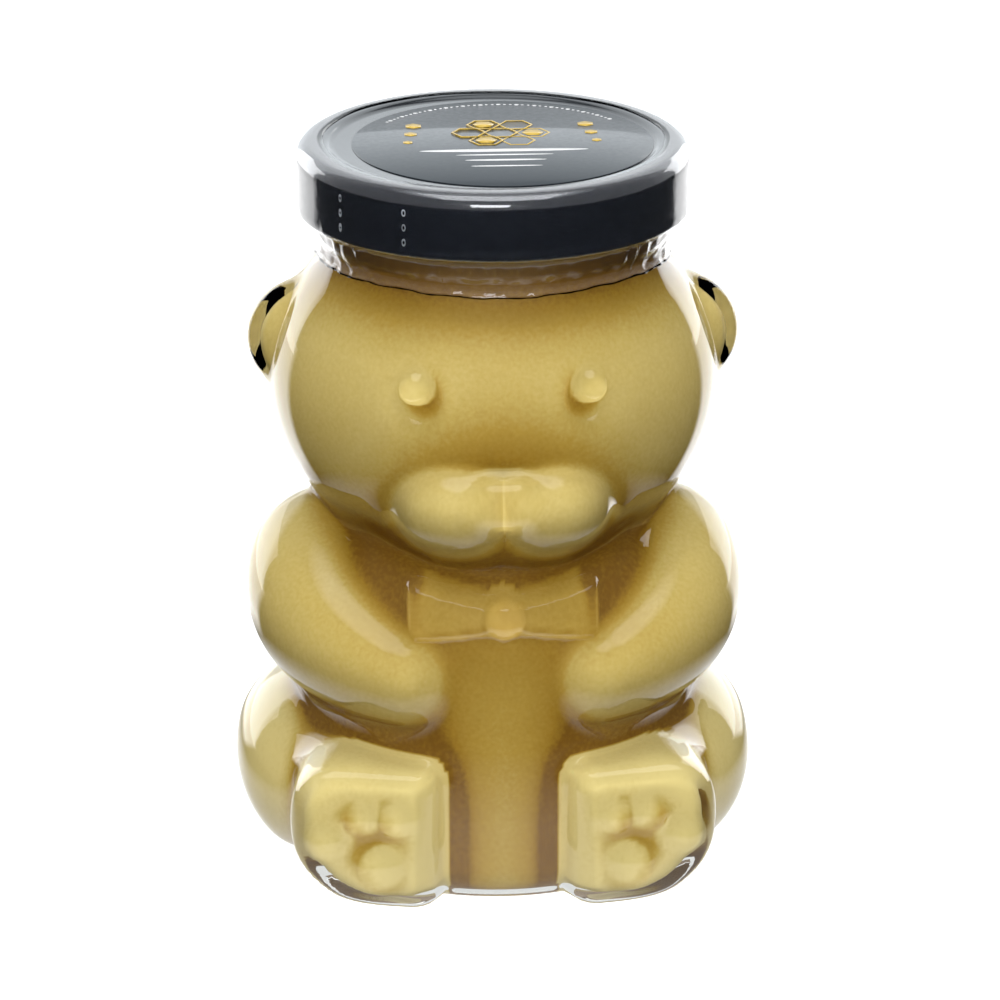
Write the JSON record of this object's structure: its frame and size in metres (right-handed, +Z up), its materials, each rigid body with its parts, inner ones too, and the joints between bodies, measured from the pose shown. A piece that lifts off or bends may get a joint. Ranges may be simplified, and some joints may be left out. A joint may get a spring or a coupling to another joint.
{
  "type": "honey jar",
  "caption": "Bear-shaped clear glass jar filled with creamed honey, with a black twist-off lid, a round lid label and a clear shrink band.",
  "frame": {"origin": "centre of the flat base, on the neck's axis", "axes": "+Z up along the neck's axis, -Y to the bear's face, +X to the right as seen from the front"},
  "size_m": [0.0816, 0.0727, 0.1132],
  "materials": {
    "glass": "clear moulded soda-lime glass",
    "honey": "opaque creamed honey, fine grain, pale golden",
    "lid": "black gloss lacquer on tinplate",
    "label": "charcoal printed sticker with a white ring and gold cells",
    "film": "clear shrink film"
  },
  "bodies": {
    "root": {"glass_jar": "glass", "honey": "honey", "lid": "lid", "lid_label": "label", "shrink_band": "film"}
  },
  "joints": []
}
